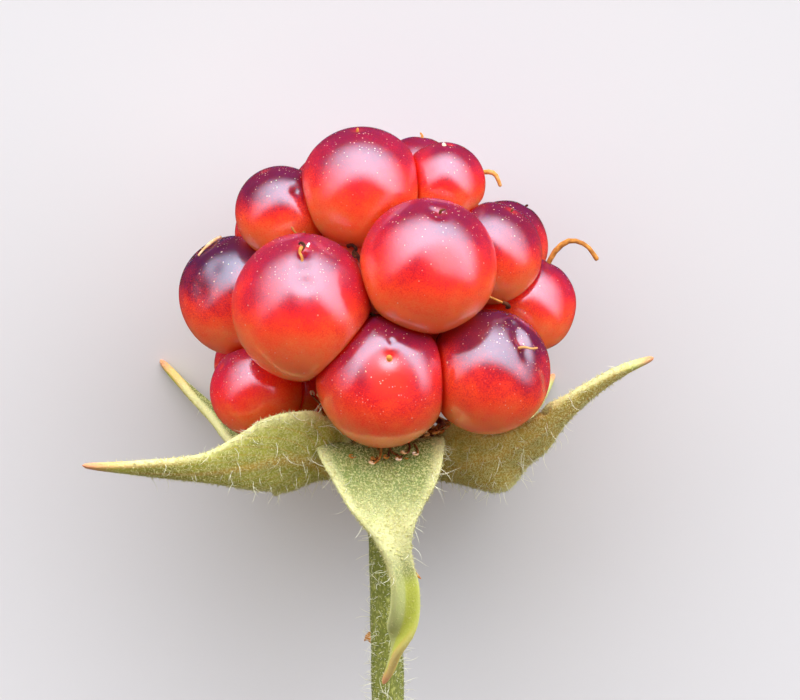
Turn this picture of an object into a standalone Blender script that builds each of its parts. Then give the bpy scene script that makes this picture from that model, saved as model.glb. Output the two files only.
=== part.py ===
"""An unripe bramble fruit, picked with its stalk and laid on its side.

The fruit's own axis lies level along Y: the tip of the fruit is at +Y and the stalk at -Y. Z is up, and the
surface that the fruit lies on is at Z = 0. The origin is on that surface, in the small flat that one drupelet
stands on. The tips of the two lower sepals touch the surface too.
"""

import math
import random

import bmesh
import bpy
from mathutils import Vector

MM = 0.001
SEED = 11

# The head of drupelets. Its middle stands back from the drupelet that it rests on.
AXIS_HEIGHT = 6.40 * MM
HEAD_Y = -1.00 * MM
CORE_CENTRE_Y = -0.6 * MM
CORE_HALF_WIDTH = 3.7 * MM
CORE_HALF_LENGTH = 3.8 * MM
CORE_SIDES = 20
CORE_RINGS = 12
PLUG_RADIUS = 1.4 * MM
PLUG_END_Y = -4.95 * MM
PLUG_SIDES = 16
DRUPELET_SIDES = 15
DRUPELET_RINGS = 9
PRESS_SHARPNESS = 22
PRESS_OVERLAP = 1.02
# Balls that stand further apart than this share of their radii together don't press on each other.
PRESS_RANGE = 1.1
# A neighbour's plane counts only in directions that look at least this much towards it, as a cosine.
FACING_LEAST = 0.05
# The lines of the styles all run from this point on the axis.
STYLE_ROOT_Y = -6.3 * MM

# Each drupelet: name, degrees round the axis from straight up towards +X, then in millimetres its place along
# the axis, its distance out from the axis and its radius, and last how far it is drawn out along the axis.
DRUPELETS = (
    ("tip_front", -29, 3.72, 1.47, 2.06, 1.0),
    ("tip_right", 69, 3.74, 2.18, 1.43, 1.0),
    ("tip_back", 141, 3.55, 1.88, 1.39, 1.0),
    ("tip_under", -145, 2.70, 2.70, 1.65, 1.0),
    ("shoulder_left", -77, 2.78, 3.53, 1.58, 1.0),
    ("middle_front", 23, 1.49, 3.88, 2.30, 1.0),
    ("shoulder_right", 72, 1.43, 3.82, 1.75, 1.0),
    ("shoulder_right_back", 110, 1.18, 4.40, 1.53, 1.0),
    ("shoulder_under_right", 150, 2.50, 3.60, 1.50, 1.0),
    ("shoulder_under_left", -108, 1.70, 3.80, 1.45, 1.0),
    ("middle_left", -39, 0.03, 4.32, 2.36, 1.06),
    ("side_left", -89, -0.23, 4.86, 2.07, 1.0),
    ("side_right", 87, -0.53, 4.94, 1.63, 1.0),
    ("under_right", 138, 0.30, 4.55, 1.85, 1.0),
    ("under_middle", 180, 1.00, 4.55, 1.98, 1.0),
    ("under_left", -138, -0.30, 4.55, 1.85, 1.0),
    ("base_front", 0, -2.45, 3.55, 2.26, 1.0),
    ("base_right", 50, -2.28, 4.62, 2.12, 1.0),
    ("base_left", -72, -3.25, 4.44, 1.63, 1.0),
    ("base_left_inner", -79, -3.38, 2.88, 1.34, 1.0),
    ("base_side_right", 98, -2.90, 4.00, 1.50, 1.0),
    ("base_under_right", 130, -2.60, 4.40, 1.70, 1.0),
    ("base_under_middle", 170, -2.60, 4.35, 1.75, 1.0),
    ("base_under_left", -152, -2.90, 4.35, 1.70, 1.0),
    ("base_side_left", -106, -2.90, 4.30, 1.65, 1.0),
)

# The withered style on each drupelet's tip is a short bent thread.
STYLE_LENGTH = 0.30 * MM
STYLE_RADIUS = 0.11 * MM
STYLE_SINK = 0.40 * MM
STYLE_SIDES = 5
STYLE_DROOP = 0.45
STYLE_LEAN = 0.75
LONG_STYLE_STEPS = 7
# The three long ones, by drupelet: points out from the middle of that drupelet, in millimetres.
LONG_STYLES = {
    "side_right": (
        (0.55, 0.85, 0.05), (0.95, 1.55, 0.10), (1.45, 1.95, 0.15), (1.95, 1.85, 0.20), (2.30, 1.45, 0.25),
    ),
    "shoulder_under_right": (
        (0.70, 0.60, 0.35), (1.25, 0.75, 0.55), (1.70, 0.95, 0.65), (2.05, 0.95, 0.75), (2.25, 0.60, 0.80),
    ),
    "base_right": (
        (0.55, 0.85, 1.00), (1.10, 1.15, 1.25), (1.35, 1.20, 1.40), (1.62, 1.12, 1.42),
    ),
}

# The calyx: a shallow cup with five sepals.
CUP_RIM_Y = -5.35 * MM
CUP_RIM_RADIUS = 2.45 * MM
CUP_FOOT_Y = -7.20 * MM
CUP_FOOT_RADIUS = 0.80 * MM
CUP_HOLLOW_Y = -5.25 * MM
CUP_SIDES = 20
SEPAL_THICKNESS = 0.62 * MM
SEPAL_CLEARANCE = 0.20 * MM
SEPAL_STEPS = 16
SEPAL_ACROSS = 6
SEPAL_LEAST_HALF_WIDTH = 0.1 * MM
# A sepal's inner face looks up along the axis and this share outwards.
SEPAL_OUTWARD_FACING = 0.6
# How much of its thickness a sepal loses at its very tip and at its edges.
SEPAL_TIP_THINNING = 0.55
SEPAL_EDGE_THINNING = 0.35
# Each sepal's midline from the cup to the tip. A row is its point in millimetres from the middle of the head,
# half the width there, how far the edges rise above the midline, and the turn of the blade in degrees.
SEPALS = {
    "front": (
        (0.00, -6.25, 0.60, 1.30, 0.00, 0),
        (0.00, -5.72, 1.60, 1.90, 0.10, 0),
        (0.02, -5.50, 2.50, 2.12, 0.25, 0),
        (0.06, -6.00, 3.35, 1.95, 0.45, 0),
        (0.12, -6.80, 3.90, 1.35, 0.50, 0),
        (0.25, -7.65, 4.15, 0.70, 0.40, 2),
        (0.38, -8.40, 4.15, 0.50, 0.25, 6),
        (0.58, -9.50, 3.85, 0.58, 0.22, 12),
        (0.62, -10.60, 3.40, 0.56, 0.22, 16),
        (0.45, -11.70, 2.85, 0.42, 0.15, 20),
        (0.15, -12.70, 2.30, 0.26, 0.05, 20),
        (-0.02, -13.35, 1.95, 0.10, 0.00, 20),
    ),
    "left": (
        (-0.50, -6.35, 0.30, 0.80, 0.00, 0),
        (-1.50, -6.15, 1.30, 0.85, 0.05, 6),
        (-2.05, -5.75, 2.00, 1.15, 0.10, 28),
        (-2.55, -5.28, 2.60, 1.70, 0.20, 50),
        (-3.35, -5.00, 3.15, 1.52, 0.26, 58),
        (-4.60, -5.26, 3.30, 0.92, 0.20, 54),
        (-6.10, -5.48, 3.30, 0.50, 0.12, 48),
        (-8.25, -5.57, 3.20, 0.34, 0.05, 42),
        (-10.15, -5.60, 3.05, 0.10, 0.00, 40),
    ),
    "right": (
        (0.70, -6.35, 0.30, 0.90, 0.00, -5),
        (2.05, -6.00, 1.10, 1.25, 0.05, -22),
        (3.45, -5.42, 2.00, 1.66, 0.22, -40),
        (4.85, -4.68, 2.40, 1.20, 0.26, -42),
        (6.00, -3.76, 2.70, 0.68, 0.16, -36),
        (7.04, -2.90, 2.90, 0.42, 0.08, -30),
        (8.02, -2.24, 3.00, 0.28, 0.03, -30),
        (9.12, -1.76, 3.05, 0.10, 0.00, -30),
    ),
    "back_left": (
        (-0.50, -6.30, -0.40, 1.20, 0.00, 0),
        (-1.90, -6.55, -1.70, 1.70, 0.15, 0),
        (-3.40, -6.75, -3.10, 1.55, 0.30, 0),
        (-4.80, -6.40, -4.40, 0.95, 0.25, 0),
        (-5.90, -5.60, -5.30, 0.42, 0.10, 0),
        (-6.90, -4.75, -5.95, 0.26, 0.03, 0),
        (-7.80, -3.85, -6.30, 0.10, 0.00, 0),
    ),
    "back_right": (
        (0.50, -6.30, -0.40, 1.20, 0.00, 0),
        (1.60, -6.65, -1.70, 1.70, 0.15, 0),
        (2.80, -6.95, -3.10, 1.60, 0.30, 0),
        (4.00, -6.55, -4.50, 1.05, 0.25, 0),
        (4.90, -5.70, -5.40, 0.45, 0.10, 0),
        (5.50, -5.00, -5.95, 0.28, 0.03, 0),
        (5.95, -4.35, -6.30, 0.10, 0.00, 0),
    ),
}

# The withered stamens stand on a thin ring inside the rim of the cup, in tufts.
STAMEN_RING_Y = -4.76 * MM
STAMEN_RING_RADIUS = 2.00 * MM
STAMEN_RING_THICKNESS = 0.24 * MM
STAMEN_RING_SIDES = 28
STAMEN_RADIUS = 0.11 * MM
ANTHER_RADIUS = 0.20 * MM
STAMEN_SIDES = 5
STAMEN_LIFT = 0.09 * MM
# Each filament wanders this far round the axis on its way out, in degrees.
STAMEN_WANDER = 2
# Degrees round the axis, then the reach out and the rise along the axis of each filament in millimetres.
STAMENS = (
    (-8, 1.7, -0.45), (-2, 2.0, -0.50), (5, 1.6, -0.40), (12, 2.0, -0.45), (21, 1.8, -0.20),
    (-42, 2.0, 1.50), (-45, 1.9, 1.00), (-48, 1.7, 0.50), (-52, 1.6, 0.15), (50, 1.0, 0.30),
    (62, 1.3, 0.10), (80, 1.6, -0.30), (100, 1.8, -0.50), (120, 1.8, -0.50), (140, 1.9, -0.50),
    (160, 1.6, -0.40), (180, 1.8, -0.40), (-160, 1.5, -0.40), (-140, 1.7, -0.50), (-120, 1.6, -0.40),
    (-104, 1.2, -0.40),
)

# The stalk.
PEDICEL_RADIUS = 0.56 * MM
PEDICEL_TOP_RADIUS = 0.78 * MM
PEDICEL_TOP_Y = -7.52 * MM
PEDICEL_FLARE = 1.1 * MM
PEDICEL_END_Y = -17.0 * MM
PEDICEL_SIDES = 14
PEDICEL_STEPS = 12
PEDICEL_TOP_X = 0.05 * MM
PEDICEL_LEAN_X = 0.15 * MM
PEDICEL_SAG = 0.12 * MM
PRICKLE_LENGTH = 0.75 * MM
PRICKLE_RADIUS = 0.20 * MM
PRICKLE_TIP_RADIUS = 0.05 * MM
PRICKLE_SIDES = 6
PRICKLE_HOOK = 0.25 * MM
# Degrees round the stalk and place along it in millimetres.
PRICKLES = ((85, -9.9), (-150, -12.4), (170, -15.3))

HEAD = Vector((0.0, HEAD_Y, AXIS_HEIGHT))
ALONG = Vector((0.0, 1.0, 0.0))
# Roughly up, but not quite, so that no tube runs straight along it.
UPWARD = Vector((0.31, 0.17, 0.93))
SHARP_EDGE_DEGREES = 50


def clear_scene():
    for old in list(bpy.data.objects):
        bpy.data.objects.remove(old, do_unlink=True)


def collection_named(name):
    made = bpy.data.collections.new(name)
    bpy.context.scene.collection.children.link(made)
    return made


def material(name, colour, roughness):
    made = bpy.data.materials.new(name)
    made.use_nodes = True
    shader = made.node_tree.nodes["Principled BSDF"]
    shader.inputs["Base Color"].default_value = (*colour, 1.0)
    shader.inputs["Roughness"].default_value = roughness
    shader.inputs["Metallic"].default_value = 0.0
    return made


def object_from(name, shape, into):
    mesh = bpy.data.meshes.new(name)
    bmesh.ops.recalc_face_normals(shape, faces=shape.faces)
    shape.to_mesh(mesh)
    shape.free()
    made = bpy.data.objects.new(name, mesh)
    into.objects.link(made)
    return made


def round_axis(degrees, out, along):
    """A point from the middle of the head, by its turn round the axis, distance out and place along it."""
    turn = math.radians(degrees)
    return Vector((out * math.sin(turn), along, out * math.cos(turn)))


def drupelet_balls():
    """Each drupelet as its name, middle, radius and stretch, in metres from the middle of the head."""
    balls = []
    for name, degrees, along, out, radius, stretch in DRUPELETS:
        balls.append((name, round_axis(degrees, out * MM, along * MM), radius * MM, stretch))
    return balls


def press_planes(index, balls):
    """The planes where a drupelet meets its neighbours: a unit direction and a distance for each."""
    _, middle, radius, _ = balls[index]
    planes = []
    for other, (_, other_middle, other_radius, _) in enumerate(balls):
        apart = other_middle - middle
        gap = apart.length
        if other == index or gap > PRESS_RANGE * (radius + other_radius):
            continue
        reach = (gap * gap + radius * radius - other_radius * other_radius) / (2.0 * gap)
        planes.append((apart / gap, PRESS_OVERLAP * reach))
    return planes


def surface_reach(direction, radius, stretch, planes):
    """How far a pressed drupelet's skin lies from its middle: a smooth least of the ball and the planes."""
    free = radius / math.sqrt(1.0 + (1.0 / (stretch * stretch) - 1.0) * direction.y ** 2)
    total = free ** -PRESS_SHARPNESS
    for normal, distance in planes:
        facing = direction.dot(normal)
        if facing > FACING_LEAST:
            total += (distance / facing) ** -PRESS_SHARPNESS
    return total ** (-1.0 / PRESS_SHARPNESS)


def style_direction(middle):
    return (middle - Vector((0.0, STYLE_ROOT_Y, 0.0))).normalized()


def pressed_drupelet(index, balls, into):
    """One juicy ball, flat where it is squeezed by its neighbours, with its pole where the style stands."""
    name, middle, radius, stretch = balls[index]
    planes = press_planes(index, balls)
    shape = bmesh.new()
    bmesh.ops.create_uvsphere(shape, u_segments=DRUPELET_SIDES, v_segments=DRUPELET_RINGS, radius=1.0)
    turn = Vector((0.0, 0.0, 1.0)).rotation_difference(style_direction(middle))
    for vertex in shape.verts:
        direction = (turn @ vertex.co).normalized()
        reach = surface_reach(direction, radius, stretch, planes)
        vertex.co = HEAD + middle + direction * reach
    flatten_underside(shape)
    return object_from("drupelet_" + name, shape, into)


def flatten_underside(shape):
    """Cuts off what would reach below the surface, and closes the cut with one flat face."""
    geometry = shape.verts[:] + shape.edges[:] + shape.faces[:]
    cut = bmesh.ops.bisect_plane(
        shape, geom=geometry, dist=1e-8, plane_co=(0.0, 0.0, 0.0), plane_no=(0.0, 0.0, -1.0), clear_outer=True
    )
    rim = [item for item in cut["geom_cut"] if isinstance(item, bmesh.types.BMEdge)]
    if rim:
        bmesh.ops.edgeloop_fill(shape, edges=rim)


def tube(name, points, radii, sides, into):
    """A closed tapered tube along the points, with fans over its ends."""
    shape = bmesh.new()
    rings = []
    side = UPWARD
    for i, point in enumerate(points):
        run = (points[min(i + 1, len(points) - 1)] - points[max(i - 1, 0)]).normalized()
        side = (side - run * side.dot(run)).normalized()
        other = run.cross(side)
        ring = []
        for k in range(sides):
            turn = 2.0 * math.pi * k / sides
            out = side * math.cos(turn) + other * math.sin(turn)
            ring.append(shape.verts.new(point + out * radii[i]))
        rings.append(ring)
    for first, second in zip(rings, rings[1:]):
        for k in range(sides):
            corners = (first[k], first[(k + 1) % sides], second[(k + 1) % sides], second[k])
            shape.faces.new(corners)
    shape.faces.new(rings[0][::-1])
    shape.faces.new(rings[-1])
    return object_from(name, shape, into)


def bent_thread(name, middle, direction, reach, draw, into):
    """A short withered style that rises from the skin and bends over towards a random side."""
    lean = Vector((draw.uniform(-1, 1), draw.uniform(-1, 1), draw.uniform(-1, 1)))
    lean = (lean - direction * lean.dot(direction)).normalized()
    length = STYLE_LENGTH * draw.uniform(0.6, 1.2)
    start = HEAD + middle + direction * (reach - STYLE_SINK)
    points = [start]
    for share in (0.0, 0.35, 0.7, 1.0):
        rise = STYLE_SINK + length * share * (1.0 - STYLE_DROOP * share)
        points.append(start + direction * rise + lean * length * STYLE_LEAN * share * share)
    radii = [STYLE_RADIUS * 1.5, STYLE_RADIUS * 1.3, STYLE_RADIUS, STYLE_RADIUS * 0.9, STYLE_RADIUS * 1.1]
    tube(name, points, radii, STYLE_SIDES, into)


def long_thread(name, middle, offsets, into):
    """A long withered style along a smooth line through the given points, thinner towards its end."""
    points = []
    radii = []
    for i in range(LONG_STYLE_STEPS + 1):
        share = i / LONG_STYLE_STEPS
        points.append(HEAD + middle + Vector(smooth_row(offsets, share)) * MM)
        radii.append(STYLE_RADIUS * (1.5 - 0.6 * share))
    tube(name, points, radii, STYLE_SIDES, into)


def receptacle_core(into):
    shape = bmesh.new()
    bmesh.ops.create_uvsphere(shape, u_segments=CORE_SIDES, v_segments=CORE_RINGS, radius=1.0)
    for vertex in shape.verts:
        x, y, z = vertex.co
        along = CORE_CENTRE_Y + z * CORE_HALF_LENGTH
        vertex.co = HEAD + Vector((x * CORE_HALF_WIDTH, along, -y * CORE_HALF_WIDTH))
    object_from("core", shape, into)
    points = [HEAD + Vector((0.0, y, 0.0)) for y in (CORE_CENTRE_Y, PLUG_END_Y)]
    tube("plug", points, [PLUG_RADIUS, PLUG_RADIUS], PLUG_SIDES, into)


def fused(name, group, into):
    """One body from everything in the group, with sealed hollows filled and loose scraps dropped."""
    pieces = list(group.objects)
    base = pieces[0]
    group.objects.unlink(base)
    into.objects.link(base)
    join = base.modifiers.new("fuse", "BOOLEAN")
    join.operation = "UNION"
    join.operand_type = "COLLECTION"
    join.collection = group
    join.solver = "EXACT"
    graph = bpy.context.evaluated_depsgraph_get()
    mesh = bpy.data.meshes.new_from_object(base.evaluated_get(graph))
    base.modifiers.clear()
    for piece in pieces:
        bpy.data.objects.remove(piece, do_unlink=True)
    bpy.data.collections.remove(group)
    keep_outer_shell(mesh)
    made = bpy.data.objects.new(name, mesh)
    into.objects.link(made)
    mesh.name = name
    mesh.shade_smooth()
    mesh.set_sharp_from_angle(angle=math.radians(SHARP_EDGE_DEGREES))
    return made


def keep_outer_shell(mesh):
    """Deletes every shell of the mesh but the largest, which fills hollows and drops scraps."""
    shape = bmesh.new()
    shape.from_mesh(mesh)
    bmesh.ops.remove_doubles(shape, verts=shape.verts, dist=1e-7)
    unseen = set(shape.verts)
    shells = []
    while unseen:
        start = unseen.pop()
        shell = {start}
        edge_of_search = [start]
        while edge_of_search:
            vertex = edge_of_search.pop()
            for edge in vertex.link_edges:
                other = edge.other_vert(vertex)
                if other in unseen:
                    unseen.remove(other)
                    shell.add(other)
                    edge_of_search.append(other)
        shells.append(shell)
    largest = max(shells, key=len)
    loose = [vertex for vertex in shape.verts if vertex not in largest]
    bmesh.ops.delete(shape, geom=loose, context="VERTS")
    shape.to_mesh(mesh)
    shape.free()


def build_drupelets(fruit):
    draw = random.Random(SEED)
    group = collection_named("drupelet_pieces")
    balls = drupelet_balls()
    receptacle_core(group)
    for index, (name, middle, radius, stretch) in enumerate(balls):
        pressed_drupelet(index, balls, group)
        direction = style_direction(middle)
        reach = surface_reach(direction, radius, stretch, press_planes(index, balls))
        if name in LONG_STYLES:
            long_thread("style_" + name, middle, LONG_STYLES[name], group)
        elif (HEAD + middle + direction * (reach + STYLE_LENGTH)).z > 0.0:
            bent_thread("style_" + name, middle, direction, reach, draw, group)
    made = fused("drupelets", group, fruit)
    made.data.materials.clear()
    made.data.materials.append(material("drupelet skin", (0.55, 0.03, 0.03), 0.25))


def smooth_row(rows, share):
    """A row of numbers read from a smooth curve through the given rows, at a share of the way along."""
    place = share * (len(rows) - 1)
    i = min(int(place), len(rows) - 2)
    t = place - i
    before = rows[max(i - 1, 0)]
    start = rows[i]
    end = rows[i + 1]
    after = rows[min(i + 2, len(rows) - 1)]
    values = []
    for a, b, c, d in zip(before, start, end, after):
        bend = (2 * a - 5 * b + 4 * c - d) * t ** 2
        twist = (3 * b - a - 3 * c + d) * t ** 3
        values.append(0.5 * (2 * b + (c - a) * t + bend + twist))
    return values


def sepal_frame(rows, share):
    """Middle, direction across, inner normal, half width and rise of the edges at a share of the length."""
    x, y, z, half_width, rise, turn = smooth_row(rows, share)
    before = Vector(smooth_row(rows, max(share - 0.02, 0.0))[:3])
    after = Vector(smooth_row(rows, min(share + 0.02, 1.0))[:3])
    run = (after - before).normalized()
    middle = Vector((x, y, z))
    outward = Vector((x, 0.0, z)).normalized()
    inner = ALONG + SEPAL_OUTWARD_FACING * outward
    inner = (inner - run * inner.dot(run)).normalized()
    across = run.cross(inner)
    lean = math.radians(turn)
    turned = inner * math.cos(lean) + across * math.sin(lean)
    across = run.cross(turned)
    return middle * MM, across, turned, max(half_width * MM, SEPAL_LEAST_HALF_WIDTH), rise * MM


def pushed_clear(point, balls, clearance):
    """The point moved out of any drupelet that it would touch."""
    for _ in range(4):
        for _, middle, radius, stretch in balls:
            away = point - middle
            needed = radius * max(1.0, stretch) + clearance
            if away.length < needed:
                point = middle + away.normalized() * needed
    return point


def clear_of_ring(point):
    """The point moved away from the ring of stamens, if a blade's middle would lie too near to it."""
    nearest = Vector((point.x, 0.0, point.z)).normalized() * STAMEN_RING_RADIUS
    nearest.y = STAMEN_RING_Y
    away = point - nearest
    needed = 0.7 * STAMEN_RING_THICKNESS + SEPAL_THICKNESS / 2 + SEPAL_CLEARANCE
    return nearest + away.normalized() * max(away.length, needed)


def sepal(name, rows, balls, into):
    """A thick arched blade: two like grids of points, one for each face, closed round the edge."""
    shape = bmesh.new()
    middle_points = []
    for i in range(SEPAL_STEPS + 1):
        middle, across, inner, half_width, rise = sepal_frame(rows, i / SEPAL_STEPS)
        row = []
        for k in range(SEPAL_ACROSS + 1):
            side = 2.0 * k / SEPAL_ACROSS - 1.0
            point = middle + across * half_width * side + inner * rise * side * side
            point = pushed_clear(point, balls, SEPAL_THICKNESS / 2 + SEPAL_CLEARANCE)
            row.append((clear_of_ring(point), inner, side))
        middle_points.append(row)
    faces = []
    for sign in (1.0, -1.0):
        grid = []
        for i, row in enumerate(middle_points):
            narrowing = 1.0 - SEPAL_TIP_THINNING * (i / SEPAL_STEPS) ** 10
            line = []
            for point, inner, side in row:
                thickness = SEPAL_THICKNESS * (1.0 - SEPAL_EDGE_THINNING * abs(side) ** 3) * narrowing
                place = HEAD + point + inner * sign * thickness / 2
                place.z = max(place.z, 0.0)
                line.append(shape.verts.new(place))
            grid.append(line)
        faces.append(grid)
    inside, outside = faces
    for i in range(SEPAL_STEPS):
        for k in range(SEPAL_ACROSS):
            for grid in faces:
                a, b, c, d = grid[i][k], grid[i][k + 1], grid[i + 1][k + 1], grid[i + 1][k]
                shape.faces.new((a, b, c))
                shape.faces.new((a, c, d))
    for i in range(SEPAL_STEPS):
        for k in (0, SEPAL_ACROSS):
            shape.faces.new((inside[i][k], inside[i + 1][k], outside[i + 1][k], outside[i][k]))
    for k in range(SEPAL_ACROSS):
        for i in (0, SEPAL_STEPS):
            shape.faces.new((inside[i][k], inside[i][k + 1], outside[i][k + 1], outside[i][k]))
    object_from("sepal_" + name, shape, into)


def calyx_cup(into):
    """A shallow turned saucer, thick in the middle, drawn in to the stalk below."""
    profile = (
        (0.0, CUP_HOLLOW_Y),
        (0.55 * CUP_RIM_RADIUS, CUP_HOLLOW_Y),
        (0.90 * CUP_RIM_RADIUS, CUP_RIM_Y),
        (CUP_RIM_RADIUS, CUP_RIM_Y - 0.25 * MM),
        (0.92 * CUP_RIM_RADIUS, CUP_RIM_Y - 0.85 * MM),
        (0.60 * CUP_RIM_RADIUS, CUP_FOOT_Y + 0.45 * MM),
        (CUP_FOOT_RADIUS, CUP_FOOT_Y),
        (0.0, CUP_FOOT_Y),
    )
    shape = bmesh.new()
    outline = [shape.verts.new(HEAD + Vector((radius, y, 0.0))) for radius, y in profile]
    edges = [shape.edges.new(pair) for pair in zip(outline, outline[1:])]
    bmesh.ops.spin(
        shape, geom=outline + edges, cent=HEAD, axis=ALONG, angle=2.0 * math.pi, steps=CUP_SIDES,
        use_merge=True,
    )
    bmesh.ops.remove_doubles(shape, verts=shape.verts, dist=1e-6)
    return object_from("cup", shape, into)


def build_calyx(fruit):
    group = collection_named("calyx_pieces")
    balls = drupelet_balls()
    calyx_cup(group)
    for name, rows in SEPALS.items():
        sepal(name, rows, balls, group)
    made = fused("calyx", group, fruit)
    made.data.materials.clear()
    made.data.materials.append(material("felted calyx", (0.42, 0.45, 0.18), 0.9))


def filament(index, degrees, reach, rise, balls, draw, into):
    """A dry thread that runs out under the drupelets from the ring and ends in a small anther."""
    start = round_axis(degrees, STAMEN_RING_RADIUS, STAMEN_RING_Y)
    points = []
    for share in (0.0, 0.3, 0.6, 0.85, 1.0):
        out = STAMEN_RING_RADIUS + reach * MM * share
        turn = degrees + draw.uniform(-STAMEN_WANDER, STAMEN_WANDER) * share
        along = STAMEN_RING_Y + rise * MM * share
        point = round_axis(turn, out, along)
        points.append(pushed_clear(point, balls, STAMEN_RADIUS + STAMEN_LIFT))
    points[0] = start
    radii = [STAMEN_RADIUS] * 3 + [ANTHER_RADIUS, STAMEN_RADIUS]
    tube(f"filament_{index}", [HEAD + point for point in points], radii, STAMEN_SIDES, into)


def build_stamens(fruit):
    draw = random.Random(SEED + 1)
    group = collection_named("stamen_pieces")
    balls = drupelet_balls()
    shape = bmesh.new()
    half = STAMEN_RING_THICKNESS / 2
    corners = ((-half, -half), (half, -half), (half, half), (-half, half))
    outline = []
    for out, along in corners:
        outline.append(shape.verts.new(HEAD + Vector((STAMEN_RING_RADIUS + out, STAMEN_RING_Y + along, 0.0))))
    edges = [shape.edges.new((outline[i], outline[(i + 1) % 4])) for i in range(4)]
    bmesh.ops.spin(
        shape, geom=outline + edges, cent=HEAD, axis=ALONG, angle=2.0 * math.pi, steps=STAMEN_RING_SIDES,
        use_merge=True,
    )
    bmesh.ops.remove_doubles(shape, verts=shape.verts, dist=1e-6)
    object_from("ring", shape, group)
    for index, (degrees, reach, rise) in enumerate(STAMENS):
        filament(index, degrees, reach, rise, balls, draw, group)
    made = fused("stamens", group, fruit)
    made.data.materials.clear()
    made.data.materials.append(material("dry stamens", (0.30, 0.12, 0.04), 0.8))


def build_pedicel(fruit):
    group = collection_named("pedicel_pieces")
    points = []
    radii = []
    for i in range(PEDICEL_STEPS + 1):
        share = i / PEDICEL_STEPS
        y = PEDICEL_TOP_Y + (PEDICEL_END_Y - PEDICEL_TOP_Y) * share
        flare = math.exp(-(((PEDICEL_TOP_Y - y) / PEDICEL_FLARE) ** 2))
        sag = PEDICEL_SAG * math.sin(math.pi * share)
        points.append(HEAD + Vector((PEDICEL_TOP_X + PEDICEL_LEAN_X * share, y, -sag)))
        radii.append(PEDICEL_RADIUS + (PEDICEL_TOP_RADIUS - PEDICEL_RADIUS) * flare)
    tube("stalk", points, radii, PEDICEL_SIDES, group)
    for index, (degrees, along) in enumerate(PRICKLES):
        root = HEAD + round_axis(degrees, 0.3 * PEDICEL_RADIUS, along * MM)
        tip = HEAD + round_axis(degrees, PEDICEL_RADIUS + PRICKLE_LENGTH, along * MM - PRICKLE_HOOK)
        radii = [1.4 * PRICKLE_RADIUS, PRICKLE_RADIUS, PRICKLE_TIP_RADIUS]
        tube(f"prickle_{index}", [root, (root + tip) / 2, tip], radii, PRICKLE_SIDES, group)
    made = fused("pedicel", group, fruit)
    made.data.materials.clear()
    made.data.materials.append(material("green stalk", (0.20, 0.30, 0.06), 0.7))


clear_scene()
bramble = collection_named("unripe_bramble_fruit")
build_drupelets(bramble)
build_calyx(bramble)
build_stamens(bramble)
build_pedicel(bramble)
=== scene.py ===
"""An unripe bramble fruit, picked and laid on its side on a pale floor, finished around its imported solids."""

import math
from functools import partial

import bmesh
import bpy
import numpy as np
from mathutils import Matrix, Vector


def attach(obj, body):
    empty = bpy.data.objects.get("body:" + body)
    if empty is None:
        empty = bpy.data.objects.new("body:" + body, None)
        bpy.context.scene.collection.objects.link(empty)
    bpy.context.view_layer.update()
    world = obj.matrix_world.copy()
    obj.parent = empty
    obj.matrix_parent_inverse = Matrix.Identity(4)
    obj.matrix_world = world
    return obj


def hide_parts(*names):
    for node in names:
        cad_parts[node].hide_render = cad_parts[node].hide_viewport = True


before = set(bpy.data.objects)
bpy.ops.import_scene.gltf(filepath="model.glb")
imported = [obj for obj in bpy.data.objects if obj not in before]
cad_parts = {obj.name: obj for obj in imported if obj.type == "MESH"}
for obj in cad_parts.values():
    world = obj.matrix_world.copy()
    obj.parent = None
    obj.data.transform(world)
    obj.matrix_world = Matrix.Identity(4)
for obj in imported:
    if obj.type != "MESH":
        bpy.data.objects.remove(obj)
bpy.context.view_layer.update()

# The receptacle. The fleshy white heart of the fruit, an egg shape that every drupelet grows on. The
# drupelets hide it, and only in the deepest gaps does it show, so it is painted juice red: a painted glow for
# those gaps.
mm = 0.001
head = Vector((0.0, -1.0 * mm, 6.4 * mm))
along = Vector((0.0, 1.0, 0.0))
heart_middle_y = -0.6 * mm
heart_half_width = 3.3 * mm
heart_half_length = 3.5 * mm
heart_neck_radius = 1.35 * mm
heart_neck_end_y = -4.95 * mm


def linear(hex_colour):
    """An sRGB colour such as #8A2C2C as linear red, green, blue and a full alpha."""
    channels = [int(hex_colour[i:i + 2], 16) / 255.0 for i in (1, 3, 5)]
    return [c / 12.92 if c <= 0.04045 else ((c + 0.055) / 1.055) ** 2.4 for c in channels] + [1.0]


def fill_inputs(node, inputs):
    """Gives inputs, by name or number, a value each or the output that feeds it."""
    for key, value in inputs.items():
        if isinstance(value, bpy.types.NodeSocket):
            node.id_data.links.new(value, node.inputs[key])
        else:
            node.inputs[key].default_value = value


def add_node(made, kind, inputs=(), out=0, **settings):
    """Adds a node to a material or world and returns one of its outputs. Inputs come in order or by name."""
    node = made.node_tree.nodes.new("ShaderNode" + kind)
    for key, value in settings.items():
        setattr(node, key, value)
    fill_inputs(node, inputs if isinstance(inputs, dict) else dict(enumerate(inputs)))
    return node.outputs[out]


def fill_shader(made, inputs):
    fill_inputs(made.node_tree.nodes["Principled BSDF"], inputs)


def new_material(name, inputs):
    made = bpy.data.materials.new(name)
    made.use_nodes = True
    fill_shader(made, inputs)
    return made


def colour_stops(ramp, first, *between, last):
    """Sets the stops of a colour ramp, each a position and a colour."""
    for element, (position, colour) in zip(ramp.elements, (first, last)):
        element.position = position
        element.color = linear(colour)
    for position, colour in between:
        ramp.elements.new(position).color = linear(colour)


def to_mesh(name, shape):
    mesh = bpy.data.meshes.new(name)
    shape.to_mesh(mesh)
    shape.free()
    return mesh


def dressed(piece, made, slot, *nodes):
    """Gives a piece its material and hangs it on the fruit in place of its solids."""
    bpy.context.scene.collection.objects.link(piece)
    piece.data.shade_smooth()
    piece.data.materials.append(made)
    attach(piece, "root")
    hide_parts(*nodes)
    return piece


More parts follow.
